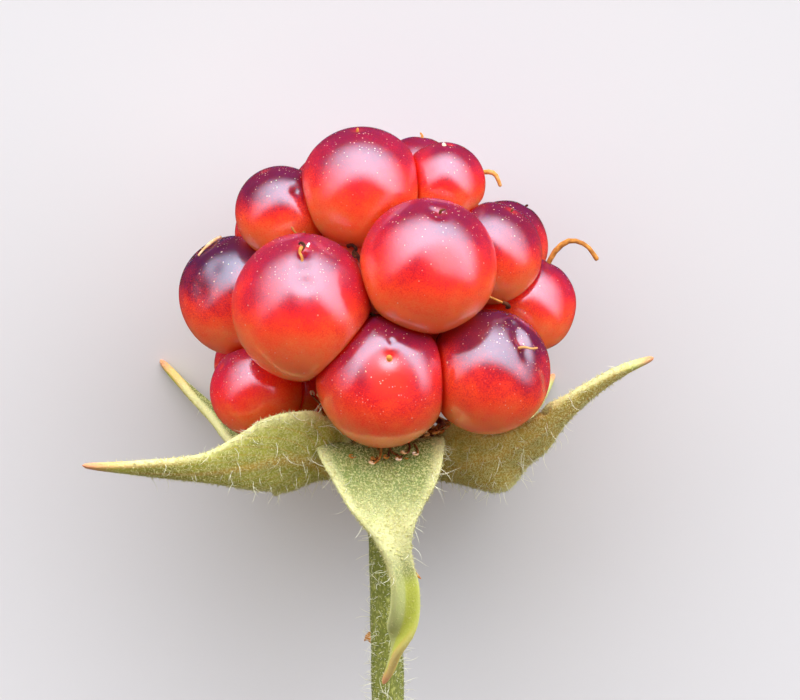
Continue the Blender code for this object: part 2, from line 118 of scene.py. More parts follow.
def finished(name, shape, made, slot, *nodes):
    """Turns a closed shape's faces outward and dresses it."""
    bmesh.ops.recalc_face_normals(shape, faces=shape.faces)
    return dressed(bpy.data.objects.new(name, to_mesh(name, shape)), made, slot, *nodes)


# Pale flesh painted juice red, a painted glow for the deepest gaps: soft and dull, and light runs a little way
# through it.
heart_painted_glow_red = new_material("receptacle painted glow red", {
    "Base Color": linear("#FF4A22"), "Roughness": 0.5, "Subsurface Weight": 1.0,
    "Subsurface Radius": (1.0, 0.2, 0.1), "Subsurface Scale": 1.5 * mm,
})

shape = bmesh.new()
egg = bmesh.ops.create_uvsphere(shape, u_segments=32, v_segments=20, radius=heart_half_width)["verts"]
bmesh.ops.scale(shape, vec=(1.0, 1.0, heart_half_length / heart_half_width), verts=egg)
neck_length = heart_middle_y - heart_neck_end_y
neck = bmesh.ops.create_cone(
    shape, cap_ends=True, segments=32, radius1=heart_neck_radius, radius2=heart_neck_radius, depth=neck_length
)["verts"]
bmesh.ops.translate(shape, vec=(0.0, 0.0, -neck_length / 2), verts=neck)
onto_axis = Matrix.Translation(head + along * heart_middle_y) @ Matrix.Rotation(math.radians(-90), 4, "X")
bmesh.ops.transform(shape, matrix=onto_axis, verts=shape.verts)
finished("receptacle", shape, heart_painted_glow_red, "drupelet_skin", "drupelets")

# The drupelets. Little juice-filled balls of thin glossy skin round one seed each, red and ripening to purple
# from the side that sees the sun. They grow pressed together, so each is flattened where it meets its
# neighbours. Each has degrees round the axis from straight up towards +X, then in millimetres its place along
# the axis, its distance out from the axis and its radius, then how far it is drawn out along the axis and how
# ripe it is.
drupelets = {
    "tip_front": (-29, 3.72, 1.47, 2.06, 1.0, 0.5),
    "tip_right": (69, 3.74, 2.18, 1.43, 1.0, 0.5),
    "tip_back": (141, 3.55, 1.88, 1.39, 1.0, 0.55),
    "tip_under": (-145, 2.7, 2.7, 1.65, 1.0, 0.5),
    "shoulder_left": (-77, 2.78, 3.53, 1.58, 1.0, 0.85),
    "middle_front": (23, 1.49, 3.88, 2.3, 1.0, 0.5),
    "shoulder_right": (72, 1.43, 3.82, 1.75, 1.0, 0.72),
    "shoulder_right_back": (110, 1.18, 4.4, 1.53, 1.0, 0.8),
    "shoulder_under_right": (150, 2.5, 3.6, 1.5, 1.0, 0.4),
    "shoulder_under_left": (-108, 1.7, 3.8, 1.45, 1.0, 0.6),
    "middle_left": (-39, 0.03, 4.32, 2.36, 1.06, 0.42),
    "side_left": (-89, -0.23, 4.86, 2.07, 1.0, 1.0),
    "side_right": (87, -0.53, 4.94, 1.63, 1.0, 0.45),
    "under_right": (138, 0.3, 4.55, 1.85, 1.0, 0.25),
    "under_middle": (180, 1.0, 4.55, 1.98, 1.0, 0.2),
    "under_left": (-138, -0.3, 4.55, 1.85, 1.0, 0.45),
    "base_front": (0, -2.45, 3.55, 2.26, 1.0, 0.45),
    "base_right": (50, -2.28, 4.62, 2.12, 1.0, 0.9),
    "base_left": (-72, -3.25, 4.44, 1.63, 1.0, 0.1),
    "base_left_inner": (-79, -3.38, 2.88, 1.34, 1.0, 0.05),
    "base_side_right": (98, -2.9, 4.0, 1.5, 1.0, 0.15),
    "base_under_right": (130, -2.6, 4.4, 1.7, 1.0, 0.2),
    "base_under_middle": (170, -2.6, 4.35, 1.75, 1.0, 0.15),
    "base_under_left": (-152, -2.9, 4.35, 1.7, 1.0, 0.2),
    "base_side_left": (-106, -2.9, 4.3, 1.65, 1.0, 0.3),
}
drupelet_sides = 96
drupelet_rings = 64
press_sharpness = 30
press_gap = 0.992
press_range = 1.1
facing_least = 0.05
style_lines_meet_y = -6.3 * mm
# A small pit holds each style. Its depth, how much that varies, and its reach from the pole in radians.
pit_depth = 0.07 * mm
pit_depth_shares = (0.7, 1.3)
pit_width = 0.13
# Where the style stands on drupelets that grew askew, as a direction from the drupelet's middle.
askew_styles = {
    "middle_left": (0.04, 0.93, 0.37),
    "side_left": (-0.51, 0.85, 0.12),
    "base_front": (0.11, 0.55, 0.83),
    "base_right": (0.53, 0.66, 0.53),
    "side_right": (0.46, 0.87, -0.17),
}
# Dents in the skin: a direction from the drupelet's middle, a depth in millimetres, a width in radians.
dents = {
    "middle_left": (
        (0.04, 0.86, 0.51, 0.1, 0.1), (0.03, 0.75, 0.66, 0.09, 0.12),
        (0.05, 0.53, 0.84, 0.12, 0.14), (0.02, 0.3, 0.95, 0.04, 0.16),
    ),
    "base_right": (
        (0.4, 0.86, 0.3, 0.1, 0.09), (0.5, 0.72, 0.48, 0.14, 0.11),
        (0.56, 0.6, 0.57, 0.14, 0.11), (0.6, 0.42, 0.68, 0.08, 0.12),
    ),
    "side_left": ((-0.66, 0.21, 0.72, 0.07, 0.18), (-0.4, 0.6, 0.69, 0.05, 0.14)),
    "shoulder_left": ((0.34, 0.6, 0.73, 0.14, 0.13), (0.5, 0.42, 0.76, 0.08, 0.12)),
    "base_front": ((0.13, 0.74, 0.66, 0.06, 0.06),),
    "middle_front": ((0.16, 0.86, 0.48, 0.06, 0.1), (0.05, 0.92, 0.38, 0.05, 0.07)),
    "tip_front": ((0.25, 0.93, 0.26, 0.04, 0.1),),
}
# Faces pressed flat by a bract or a leaf: a direction, and the share of the radius that is left there.
pressed_faces = {"base_front": (0.10, 0.30, 0.95, 0.90), "middle_front": (0.25, 0.25, 0.93, 0.955)}
# Living skin is never a true ball: a few waves make its surface swell and sink by this share of the radius.
swelling = 0.006
swelling_waves = 4
swelling_pitch = 2.2
# How wide the skin's blotches, its grain and the drifts of wax specks are, and for each size of speck how far
# apart they lie and the greatest share of that which a speck fills.
blotch_width = 1.1 * mm
grain_width = 0.055 * mm
drift_width = 0.7 * mm
speck_sizes = ((0.10 * mm, 0.17), (0.24 * mm, 0.09))


def round_axis(degrees, out, forward):
    """A point from the middle of the head, by its turn round the axis, distance out and place along it."""
    turn = math.radians(degrees)
    return Vector((out * math.sin(turn), forward, out * math.cos(turn)))


def drupelet_middle(name):
    degrees, forward, out = drupelets[name][:3]
    return round_axis(degrees, out * mm, forward * mm)


def style_direction(name):
    if name in askew_styles:
        return Vector(askew_styles[name]).normalized()
    return (drupelet_middle(name) - Vector((0.0, style_lines_meet_y, 0.0))).normalized()


def press_planes(name):
    """The planes where a drupelet meets its neighbours: a unit direction and a distance for each."""
    middle = drupelet_middle(name)
    radius = drupelets[name][3] * mm
    planes = []
    for other, values in drupelets.items():
        apart = drupelet_middle(other) - middle
        other_radius = values[3] * mm
        if other == name or apart.length > press_range * (radius + other_radius):
            continue
        reach = (apart.length_squared + radius ** 2 - other_radius ** 2) / (2.0 * apart.length)
        planes.append((np.array(apart.normalized()), press_gap * reach))
    if name in pressed_faces:
        *towards, share = pressed_faces[name]
        planes.append((np.array(Vector(towards).normalized()), radius * share))
    return planes


def free_reach(name, directions):
    """How far a drupelet's skin would lie from its middle with no neighbours, in each direction."""
    radius, stretch = drupelets[name][3] * mm, drupelets[name][4]
    return radius / np.sqrt(1.0 + (1.0 / stretch ** 2 - 1.0) * directions[:, 1] ** 2)


def skin_reach(name, directions):
    """How far a drupelet's skin lies from its middle: a smooth least of the ball and the planes."""
    total = free_reach(name, directions) ** -press_sharpness
    for normal, distance in press_planes(name):
        facing = np.maximum(directions @ normal, facing_least)
        total += np.where(facing > facing_least, (distance / facing) ** -press_sharpness, 0.0)
    return total ** (-1.0 / press_sharpness)


def put_attributes(mesh, **attributes):
    for name, values in attributes.items():
        attribute = mesh.attributes.new(name, "FLOAT", "POINT")
        attribute.data.foreach_set("value", np.full(len(mesh.vertices), values, np.float32))


def vertex_places(mesh):
    places = np.empty(len(mesh.vertices) * 3, np.float32)
    mesh.vertices.foreach_get("co", places)
    return places.reshape(-1, 3).astype(float)


# Fruit skin over juice: clear red flesh that light runs through, under a skin with a soft waxy gloss.
fruit_skin = new_material("waxy drupelet skin over juice", {
    "Roughness": 0.26, "IOR": 1.45, "Specular IOR Level": 0.15,
    "Subsurface Weight": 1.0, "Subsurface Radius": (1.0, 0.14, 0.05), "Subsurface Scale": 3.0 * mm,
    "Subsurface Anisotropy": 0.5, "Coat Weight": 0.46, "Coat Roughness": 0.17, "Coat IOR": 2.6,
})
on_skin = partial(add_node, fruit_skin)
ripe, forward, from_pole, squeezed = (
    on_skin("Attribute", out="Fac", attribute_name=name)
    for name in ("ripe", "forward", "from_pole", "squeezed")
)
place = on_skin("TexCoord", out="Object")
blotch, grain, drifts = (
    on_skin("TexNoise", {"Vector": place, "Scale": 1.0 / width, "Detail": detail, "Roughness": rough})
    for width, detail, rough in ((blotch_width, 3.0, 0.6), (grain_width, 2.0, 0.5), (drift_width, 1.0, 0.5))
)
# Ripening spreads from the style and the side that faces the fruit's tip, in blotches a millimetre wide. The
# bright orange at the other end, on the stalk side away from the light, is partly painted glow that stands in
# for light shining through the juice. The skin's own fine grain breaks the gloss up into a soft sparkle and
# stipples the colour.
from_style = on_skin("Math", (from_pole, -0.5, 0.5), operation="MULTIPLY_ADD")
ripening_and_glow_side = on_skin("Math", (forward, 0.5, from_style), operation="MULTIPLY_ADD")
wandering = on_skin("Math", (blotch, 0.36, -0.34), operation="MULTIPLY_ADD")
stippled = on_skin("Math", (grain, 0.32, wandering), operation="MULTIPLY_ADD")
height = on_skin("Math", (ripening_and_glow_side, stippled), operation="ADD")
# Partly painted glow: the low end of this ramp is a bright orange for the stalk side.
flesh = on_skin("ValToRGB", (height,))
colour_stops(
    flesh.node.color_ramp, (0.30, "#FF7A40"), (0.48, "#FF5428"), (0.62, "#F2342A"), (0.76, "#C81E34"),
    last=(0.92, "#921838"),
)
# The upper part darkens as it ripens. Where drupelets press on each other the skin is painted a bright orange
# red, a painted glow that stands in for light shining through the juice into the creases. Specks of wax lie in
# drifts, thickest round the style.
upper, pressed_glow_mask, near_style = (
    on_skin("MapRange", measured, interpolation_type="SMOOTHSTEP")
    for measured in ((height, 0.40, 0.86), (squeezed, 0.0, 0.09), (from_pole, 0.06, 0.46, 0.75, 0.10))
)
unripe = on_skin("Math", (ripe, -0.55, 1.0), operation="MULTIPLY_ADD")
drifted = on_skin("MapRange", (drifts, 0.36, 0.60))
darkened, painted_crease_glow, likely = (
    on_skin("Math", pair, operation="MULTIPLY")
    for pair in ((upper, ripe), (pressed_glow_mask, unripe), (near_style, drifted))
)
purple = on_skin("Mix", {0: darkened, 6: flesh, 7: linear("#4A1034")}, out=2, data_type="RGBA")
# Painted glow: the pressed creases are painted a bright orange red.
speckled = on_skin("Mix", {0: painted_crease_glow, 6: purple, 7: linear("#FF4418")}, out=2, data_type="RGBA")
# The specks are pale and slightly raised. Real ones are 0.02 to 0.06 mm wide.
flecks = []
for spacing, size in speck_sizes:
    off_centre = on_skin("TexVoronoi", {"Vector": place, "Scale": 1.0 / spacing}, out="Distance")
    drawn = on_skin("SeparateColor", (off_centre.node.outputs["Color"],)).node.outputs
    present = on_skin("Math", (drawn["Red"], likely), operation="LESS_THAN")
    reach = on_skin("Math", (drawn["Green"], size, 0.4 * size), operation="MULTIPLY_ADD")
    inside = on_skin("Math", (off_centre, reach), operation="DIVIDE")
    dot = on_skin("MapRange", (inside, 0.5, 1.4, 0.75, 0.0), interpolation_type="SMOOTHSTEP")
    fleck = on_skin("Math", (dot, present), operation="MULTIPLY")
    flecks.append(fleck)
    speckled = on_skin("Mix", {0: fleck, 6: speckled, 7: linear("#FBD9B6")}, out=2, data_type="RGBA")
speck = on_skin("Math", flecks, operation="MAXIMUM")
raised = on_skin("Math", (speck, 1.2, grain), operation="MULTIPLY_ADD")
bump = on_skin("Bump", {"Strength": 0.60, "Distance": 0.012 * mm, "Height": raised})
fill_shader(fruit_skin, {"Base Color": speckled, "Normal": bump})

unevenness = np.random.default_rng(7)
for name in drupelets:
    shape = bmesh.new()
    bmesh.ops.create_uvsphere(shape, u_segments=drupelet_sides, v_segments=drupelet_rings, radius=1.0)
    onto_pole = Vector((0.0, 0.0, 1.0)).rotation_difference(style_direction(name)).to_matrix().to_4x4()
    bmesh.ops.transform(shape, matrix=onto_pole, verts=shape.verts)
    mesh = to_mesh("drupelet_" + name, shape)
    directions = vertex_places(mesh)
    reach = skin_reach(name, directions)
    pole = np.array(style_direction(name))
    angle = np.arccos(np.clip(directions @ pole, -1.0, 1.0))
    reach -= pit_depth * unevenness.uniform(*pit_depth_shares) * np.exp(-((angle / pit_width) ** 2))
    for _ in range(swelling_waves):
        wave = unevenness.normal(0.0, swelling_pitch, 3)
        reach *= 1.0 + swelling * np.sin(directions @ wave + unevenness.uniform(0.0, 6.0))
    squeezed = 1.0 - reach / free_reach(name, directions)
    for *towards, depth, width in dents.get(name, ()):
        off = np.arccos(np.clip(directions @ (np.array(towards) / np.linalg.norm(towards)), -1.0, 1.0))
        reach -= depth * mm * np.exp(-((off / width) ** 2))
    skin = directions * reach[:, None] + np.array(head + drupelet_middle(name))
    skin[:, 2] = np.maximum(skin[:, 2], 0.0)
    mesh.vertices.foreach_set("co", skin.astype(np.float32).ravel())
    forward = 0.5 + 0.5 * directions[:, 1]
    put_attributes(
        mesh, forward=forward, from_pole=angle / math.pi, ripe=drupelets[name][5], squeezed=squeezed
    )
    dressed(bpy.data.objects.new("drupelet_" + name, mesh), fruit_skin, "drupelet_skin", "drupelets")

# The styles. Each drupelet still carries the thread that led pollen to it, withered to a tan or brown stub in
# a small pit. A few kept their length and curl away from the fruit, and some were caught in the gaps between.
style_sides = 10
style_steps = 10
style_root = 0.12 * mm
style_lengths = (0.10 * mm, 0.26 * mm)
style_radii = (0.055, 0.035)
style_tones = (0.05, 0.6)
wrinkle_width = 0.15 * mm
# The style of the lowest front drupelet is a thick round stub: its radii in millimetres and its tone.
thick_stub = (0.13, 0.12), 0.52
# Points out from a drupelet's middle in millimetres, the radius at both ends in millimetres and a tone that
# runs from 0, dark brown, through 0.5, orange tan, to 1, bleached.
long_styles = {
    "side_right": (
        ((0.45, 0.7, 0.03), (0.8, 1.72, 0.1), (1.36, 2.24, 0.15), (1.95, 2.1, 0.2), (2.3, 1.66, 0.25)),
        (0.095, 0.08), 0.42,
    ),
    "shoulder_under_right": (
        ((0.7, 0.6, 0.35), (1.25, 0.8, 0.55), (1.66, 1.04, 0.65), (2.02, 1.0, 0.75), (2.2, 0.62, 0.8)),
        (0.09, 0.075), 0.52,
    ),
    "base_right": (
        ((0.5, 0.78, 0.9), (0.98, 1.08, 1.3), (1.2, 1.16, 1.46), (1.45, 1.12, 1.5), (1.62, 1.14, 1.48)),
        (0.06, 0.03), 0.6,
    ),
    "middle_left": (
        ((0.02, 1.7, 1.4), (0.03, 1.96, 1.34), (-0.05, 2.12, 1.24), (0.0, 2.26, 1.14)),
        (0.04, 0.06), 0.46,
    ),
    "shoulder_left": (
        ((0.2, 0.1, 1.25), (0.42, -0.3, 1.52), (0.62, -0.52, 1.46), (0.78, -0.42, 1.3)),
        (0.055, 0.035), 0.35,
    ),
    "side_left": (
        ((-0.66, 1.95, -0.28), (-0.88, 1.9, 0.06), (-1.08, 1.8, 0.36), (-1.26, 1.64, 0.5),
         (-1.38, 1.5, 0.56)),
        (0.065, 0.035), 0.74,
    ),
    "tip_right": (((0.1, 1.18, 0.3), (0.02, 1.42, 0.32)), (0.065, 0.075), 0.84),
}
# Threads caught between drupelets: points from the middle of the head, then radii and tone as above.
caught_styles = (
    (((-2.7, 2.22, 4.52), (-2.62, 2.34, 4.42), (-2.72, 2.44, 4.34), (-2.78, 2.4, 4.36)), (0.06, 0.04), 0.1),
    (((-2.52, 2.3, 4.44), (-2.46, 2.4, 4.36)), (0.045, 0.035), 0.95),
    (((-1.16, 1.92, 2.3), (-1.02, 1.98, 2.5), (-0.9, 1.86, 2.56), (-0.98, 1.74, 2.48)), (0.07, 0.05), 0.03),
    (((-0.98, 1.8, 2.52), (-0.84, 1.66, 2.64), (-0.78, 1.52, 2.8), (-0.7, 1.42, 2.8)), (0.065, 0.05), 0.08),
    (((-1.0, 1.72, 2.46), (-0.94, 1.6, 2.66), (-0.82, 1.66, 2.74)), (0.05, 0.04), 0.14),
    (((-0.44, -0.18, 3.42), (-0.32, -0.18, 3.58), (-0.22, -0.22, 3.6)), (0.06, 0.04), 0.06),
    (((3.42, 0.46, 3.42), (3.66, 0.34, 3.3), (3.92, 0.18, 3.1), (4.1, 0.05, 2.92)), (0.035, 0.035), 0.52),
    (((4.04, 0.1, 2.98), (4.16, 0.06, 3.0), (4.26, -0.06, 2.9), (4.18, -0.1, 2.8)), (0.075, 0.055), 0.1),
)


def smooth_row(rows, share):
    """A row of numbers read from a smooth curve through the given rows, at a share of the way along."""
    place = share * (len(rows) - 1)
    i = min(int(place), len(rows) - 2)
    t = place - i
    before, start, end, after = (
        np.array(rows[k], float) for k in (max(i - 1, 0), i, i + 1, min(i + 2, len(rows) - 1))
    )
    bend = (2 * before - 5 * start + 4 * end - after) * t ** 2
    twist = (3 * start - before - 3 * end + after) * t ** 3
    return 0.5 * (2 * start + (end - before) * t + bend + twist)


def limb(shape, points, radii, sides, tone):
    """A round limb drawn out along the points, closed at both ends."""
    tones = shape.verts.layers.float.get("tone") or shape.verts.layers.float.new("tone")
    start = bmesh.ops.create_circle(shape, cap_ends=True, segments=sides, radius=1.0)["verts"]
    section = start[0].link_faces[0]
    outline = [vertex.co.copy() for vertex in section.verts]
    side = Vector((0.31, 0.17, 0.93))
    for i, (point, radius) in enumerate(zip(points, radii)):
        run = (points[min(i + 1, len(points) - 1)] - points[max(i - 1, 0)]).normalized()
        side = (side - run * side.dot(run)).normalized()
        turned = Matrix((side, run.cross(side), run)).transposed()
        if i:
            behind = section
            drawn = bmesh.ops.extrude_face_region(shape, geom=[behind])["geom"]
            section = next(item for item in drawn if isinstance(item, bmesh.types.BMFace))
            if i > 1:
                bmesh.ops.delete(shape, geom=[behind], context="FACES_ONLY")
        for vertex, place in zip(section.verts, outline):
            vertex.co = point + turned @ (place * radius)
            vertex[tones] = tone


def thread(shape, origin, points, radii, tone):
    """A withered thread along a smooth line through the points, a little knotted, with a rounded end."""
    line, girths = [], []
    for i in range(style_steps + 1):
        share = i / style_steps
        line.append(origin + Vector(smooth_row(points, share)) * mm)
        knot = 1.0 + 0.12 * math.sin(9.0 * share + 40.0 * tone)
        girths.append((radii[0] + (radii[1] - radii[0]) * share) * knot * mm)
    run = (line[-1] - line[-2]).normalized()
    for forward_share, width in ((0.55, 0.85), (0.9, 0.5)):
        line.append(line[style_steps] + run * girths[style_steps] * forward_share)
        girths.append(girths[style_steps] * width)
    limb(shape, line, girths, style_sides, tone)


# Dry plant tissue: tan to nearly black, dull, with a wrinkled grain along it.
withered = new_material("withered brown plant thread", {"Roughness": 0.85, "Specular IOR Level": 0.15})
on_thread = partial(add_node, withered)
tone = on_thread("Attribute", out="Fac", attribute_name="tone")
place = on_thread("TexCoord", out="Object")
streaks = on_thread("TexNoise", {"Vector": place, "Scale": 1.0 / wrinkle_width, "Detail": 4.0})
varied = on_thread("Math", (streaks, 0.5, -0.25), operation="MULTIPLY_ADD")
shade = on_thread("Math", (tone, varied), operation="ADD", use_clamp=True)
dry = on_thread("ValToRGB", (shade,))
colour_stops(dry.node.color_ramp, (0.0, "#2A120C"), (0.25, "#6E3A1C"), (0.5, "#D08838"), (0.75, "#E2B47A"),
             last=(1.0, "#F6EBD8"))
wrinkles = on_thread("Bump", {"Strength": 0.6, "Distance": 0.02 * mm, "Height": streaks})
fill_shader(withered, {"Base Color": dry, "Normal": wrinkles})

lean = np.random.default_rng(21)
shape = bmesh.new()
for name in drupelets:
    middle = head + drupelet_middle(name)
    if name in long_styles:
        points, radii, tone = long_styles[name]
        thread(shape, middle, points, radii, tone)
        continue
    pole = style_direction(name)
    reach = float(skin_reach(name, np.array([pole]))[0]) - pit_depth
    side = Vector(lean.normal(0.0, 1.0, 3))
    side = (side - pole * side.dot(pole)).normalized()
    length = lean.uniform(*style_lengths)
    points = [
        (pole * (reach - style_root)) / mm,
        (pole * (reach + 0.35 * length) + side * 0.10 * length) / mm,
        (pole * (reach + 0.70 * length) + side * 0.55 * length) / mm,
    ]
    if name == "base_front":
        thread(shape, middle, points[:2], *thick_stub)
        continue
    if name != "base_left" and (middle + pole * (reach + length)).z > 0.1 * mm:
        thread(shape, middle, points, style_radii, lean.uniform(*style_tones))
for points, radii, tone in caught_styles:
    thread(shape, head, points, radii, tone)
finished("styles", shape, withered, "drupelet_skin", "drupelets")

# The calyx. A shallow green cup and five leafy sepals that grew as one with it, felted all over with short
# pale hairs. Two sepals spread under the fruit, two reach out beside it, and the front one bends back.
cup_rim_y = -5.35 * mm
cup_rim_radius = 2.35 * mm
cup_foot_y = -7.20 * mm
cup_foot_radius = 0.80 * mm
cup_hollow_y = -5.30 * mm
sepal_thickness = 0.40 * mm
sepal_clearance = 0.10 * mm
sepal_steps = 84
sepal_across = 24
sepal_outward_facing = 0.6
midrib_height = 0.07 * mm
midrib_width = 0.16 * mm
margin_wave = 0.07 * mm
margin_wave_pitch = 34.0
felt_patch_width = 0.5 * mm
nap_width = 0.07 * mm
# Each sepal's midline from the cup to the tip. A row is its point in millimetres from the middle of the head,
# half the width there, how far the edges rise above the midline, and the turn of the blade in degrees.
sepals = {
    "front": (
        (0.0, -6.25, 0.6, 1.3, 0.0, 0), (-0.03, -5.5, 1.65, 2.0, 0.2, 0),
        (-0.08, -5.12, 2.55, 2.18, 0.35, 0), (0.06, -5.7, 3.4, 1.92, 0.42, 0),
        (0.12, -6.7, 3.9, 1.32, 0.5, 0), (0.28, -7.6, 4.15, 0.68, 0.36, 2),
        (0.5, -8.5, 4.15, 0.46, 0.2, 4), (0.68, -9.55, 3.85, 0.54, 0.18, 6),
        (0.68, -10.6, 3.4, 0.53, 0.18, 8), (0.54, -11.7, 2.85, 0.4, 0.12, 8),
        (0.28, -12.7, 2.3, 0.22, 0.04, 8), (0.0, -13.35, 1.95, 0.1, 0.0, 8),
    ),
    "left": (
        (-0.5, -6.35, 0.3, 0.8, 0.0, 0), (-1.5, -6.15, 1.3, 0.85, 0.05, 6),
        (-2.05, -5.75, 2.0, 1.32, 0.1, 36), (-2.55, -5.38, 2.6, 1.74, 0.2, 62),
        (-3.35, -5.2, 3.05, 1.76, 0.22, 78), (-4.6, -5.42, 3.2, 1.2, 0.18, 82),
        (-6.1, -5.6, 3.25, 0.66, 0.12, 70), (-8.25, -5.57, 3.2, 0.44, 0.05, 50),
        (-10.15, -5.5, 3.05, 0.1, 0.0, 40),
    ),
    "right": (
        (0.7, -6.35, 0.3, 0.9, 0.0, -5), (2.05, -6.0, 1.1, 1.25, 0.05, -34),
        (3.45, -5.42, 2.0, 1.66, 0.22, -64), (4.85, -4.68, 2.4, 1.12, 0.26, -66),
        (6.0, -3.76, 2.7, 0.58, 0.16, -58), (7.04, -2.9, 2.9, 0.38, 0.08, -52),
        (8.02, -2.24, 3.0, 0.26, 0.03, -46), (9.12, -1.76, 3.05, 0.1, 0.0, -30),
    ),
    "back_left": (
        (-0.5, -6.3, -0.4, 1.2, 0.0, 0), (-1.9, -6.55, -1.7, 1.7, 0.15, 0),
        (-3.4, -6.75, -3.1, 1.55, 0.3, 0), (-4.8, -6.4, -4.4, 0.95, 0.25, 0),
        (-5.9, -5.6, -5.3, 0.42, 0.1, 0), (-6.9, -4.75, -5.95, 0.26, 0.03, 0),
        (-7.8, -3.85, -6.3, 0.1, 0.0, 0),
    ),
    "back_right": (
        (0.5, -6.3, -0.4, 1.2, 0.0, 0), (1.6, -6.65, -1.7, 1.7, 0.15, 0),
        (2.8, -6.95, -3.1, 1.6, 0.3, 0), (4.0, -6.55, -4.5, 1.05, 0.25, 0),
        (4.9, -5.7, -5.4, 0.45, 0.1, 0), (5.5, -5.0, -5.95, 0.28, 0.03, 0),
        (5.95, -4.35, -6.3, 0.1, 0.0, 0),
    ),
}
# How far each sepal has turned from green to golden brown, and the share of its length where the felt ends.
sepal_looks = {
    "front": (0.05, 0.55), "left": (0.15, 0.84), "right": (0.8, 0.84), "back_left": (0.25, 0.8),
    "back_right": (0.4, 0.8),
}
# The front sepal's neck, where it bends back, is woolliest: its middle and its reach in shares of length.
neck_share = 0.47
neck_reach = 0.11


def sepal_frame(rows, share):
    """Middle, direction across, inner normal, half width and rise of the edges at a share of the length."""
    x, y, z, half_width, rise, turn = smooth_row(rows, share)
    before = Vector(smooth_row(rows, max(share - 0.02, 0.0))[:3])
    after = Vector(smooth_row(rows, min(share + 0.02, 1.0))[:3])
    run = (after - before).normalized()
    inner = along + sepal_outward_facing * Vector((x, 0.0, z)).normalized()
    inner = (inner - run * inner.dot(run)).normalized()
    across = run.cross(inner)
    lean = math.radians(turn)
    turned = inner * math.cos(lean) + across * math.sin(lean)
    return [*(Vector((x, y, z)) * mm), *run.cross(turned), *turned, max(half_width, 0.1) * mm, rise * mm]


def pushed_clear(points, clearance):
    """The points moved out of any drupelet that they would touch."""
    for _ in range(4):
        for name, values in drupelets.items():
            away = points - np.array(drupelet_middle(name))
            distance = np.linalg.norm(away, axis=1)
            needed = values[3] * mm * max(1.0, values[4]) + clearance
            points = points + away * (np.maximum(needed / distance, 1.0) - 1.0)[:, None]
    return points


def gathered(middle, across, from_midrib, row, clearance):
    """Widths drawn in, row by row and side by side, until the blade clears the drupelets."""
    half = row * 2 + (from_midrib > 0)
    kept = np.ones(half.max() + 1)
    for _ in range(40):
        points = middle + across * (from_midrib * kept[half])[:, None]
        moved = np.linalg.norm(pushed_clear(points, clearance) - points, axis=1) > 0.02 * mm
        kept[np.unique(half[moved])] *= 0.97
    smooth = np.array([0.25, 0.5, 0.25])
    for side in (0, 1):
        for _ in range(6):
            padded = np.pad(kept[side::2], 1, mode="edge")
            kept[side::2] = np.minimum(kept[side::2], np.convolve(padded, smooth, mode="valid"))
    return from_midrib * kept[half]


def soft_step(values, low, high):
    t = np.clip((values - low) / (high - low), 0.0, 1.0)
    return t * t * (3.0 - 2.0 * t)


def sepal_blade(name, rows, ripple):
    """A leafy blade with round edges: two like sheets that meet all round the margin."""
    shape = bmesh.new()
    for sign in (1.0, -1.0):
        sheet = bmesh.ops.create_grid(shape, x_segments=sepal_across, y_segments=sepal_steps, size=1.0)
        bmesh.ops.translate(shape, vec=(0.0, 0.0, sign), verts=sheet["verts"])
    mesh = to_mesh("sepal_" + name, shape)
    flat = vertex_places(mesh)
    row = np.rint((flat[:, 1] + 1.0) / 2.0 * sepal_steps).astype(int)
    column = np.rint((flat[:, 0] + 1.0) / 2.0 * sepal_across).astype(int)
    share = row / sepal_steps
    side = np.sin((2.0 * column / sepal_across - 1.0) * math.pi / 2)
    face = np.sign(flat[:, 2])
    frames = np.array([sepal_frame(rows, i / sepal_steps) for i in range(sepal_steps + 1)])[row]
    middle, across, inner, half_width, rise = (
        frames[:, 0:3], frames[:, 3:6], frames[:, 6:9], frames[:, 9], frames[:, 10]
    )
    from_midrib = side * half_width
    if name == "right":
        from_midrib = gathered(middle, across, from_midrib, row, sepal_thickness / 2)
    wave = margin_wave * np.sin(share * margin_wave_pitch + ripple + 1.5 * side) * np.abs(side) ** 3
    wave *= soft_step(share, 0.1, 0.3)
    lift = rise * side ** 2 + wave * (1.0 - soft_step(share, 0.35, 0.60))
    points = middle + across * from_midrib[:, None] + inner * lift[:, None]
    points = pushed_clear(points, sepal_thickness / 2 + sepal_clearance)
    sheet = np.zeros((sepal_steps + 1, sepal_across + 1, 3))
    sheet[row, column] = points
    standing = np.cross(np.gradient(sheet, axis=1), np.gradient(sheet, axis=0))
    standing = (standing / np.linalg.norm(standing, axis=2)[:, :, None])[row, column]
    rounded = np.sqrt(np.clip(1.0 - np.abs(side) ** 5, 0.0, 1.0))
    ends = np.sqrt(np.clip(1.0 - share ** 24, 0.0, 1.0))
    ends *= np.sqrt(np.clip(1.0 - (1.0 - share) ** 60, 0.0, 1.0))
    half_thickness = sepal_thickness / 2 * rounded * ends * (1.0 - 0.35 * share ** 4)
    rib = np.exp(-((from_midrib / midrib_width) ** 2)) * rounded * (1.0 - share) * soft_step(share, 0.02, 0.2)
    offset = face * half_thickness - np.where(face < 0, midrib_height, 0.5 * midrib_height) * rib * ends
    points = points + standing * offset[:, None] + np.array(head)
    points[:, 2] = np.maximum(points[:, 2], 0.0)
    mesh.vertices.foreach_set("co", points.astype(np.float32).ravel())
    tan, felt_end = sepal_looks[name]
    bare = soft_step(share, felt_end, felt_end + 0.10)
    wool = 0.8 * soft_step(np.abs(side), 0.74, 1.0) * soft_step(share, 0.05, 0.28)
    if name == "front":
        wool = np.maximum(wool, 0.85 * np.exp(-(((share - neck_share) / neck_reach) ** 2)))
    put_attributes(
        mesh, side=side, share=share, inner_face=0.5 + 0.5 * face, tan=tan, bare=bare,
        wool=wool * (1.0 - 0.7 * bare),
    )
    shape = bmesh.new()
    shape.from_mesh(mesh)
    bmesh.ops.remove_doubles(shape, verts=shape.verts, dist=1e-7)
    bpy.data.meshes.remove(mesh)
    return finished("sepal_" + name, shape, felted_leaf, "felted_calyx", "calyx")


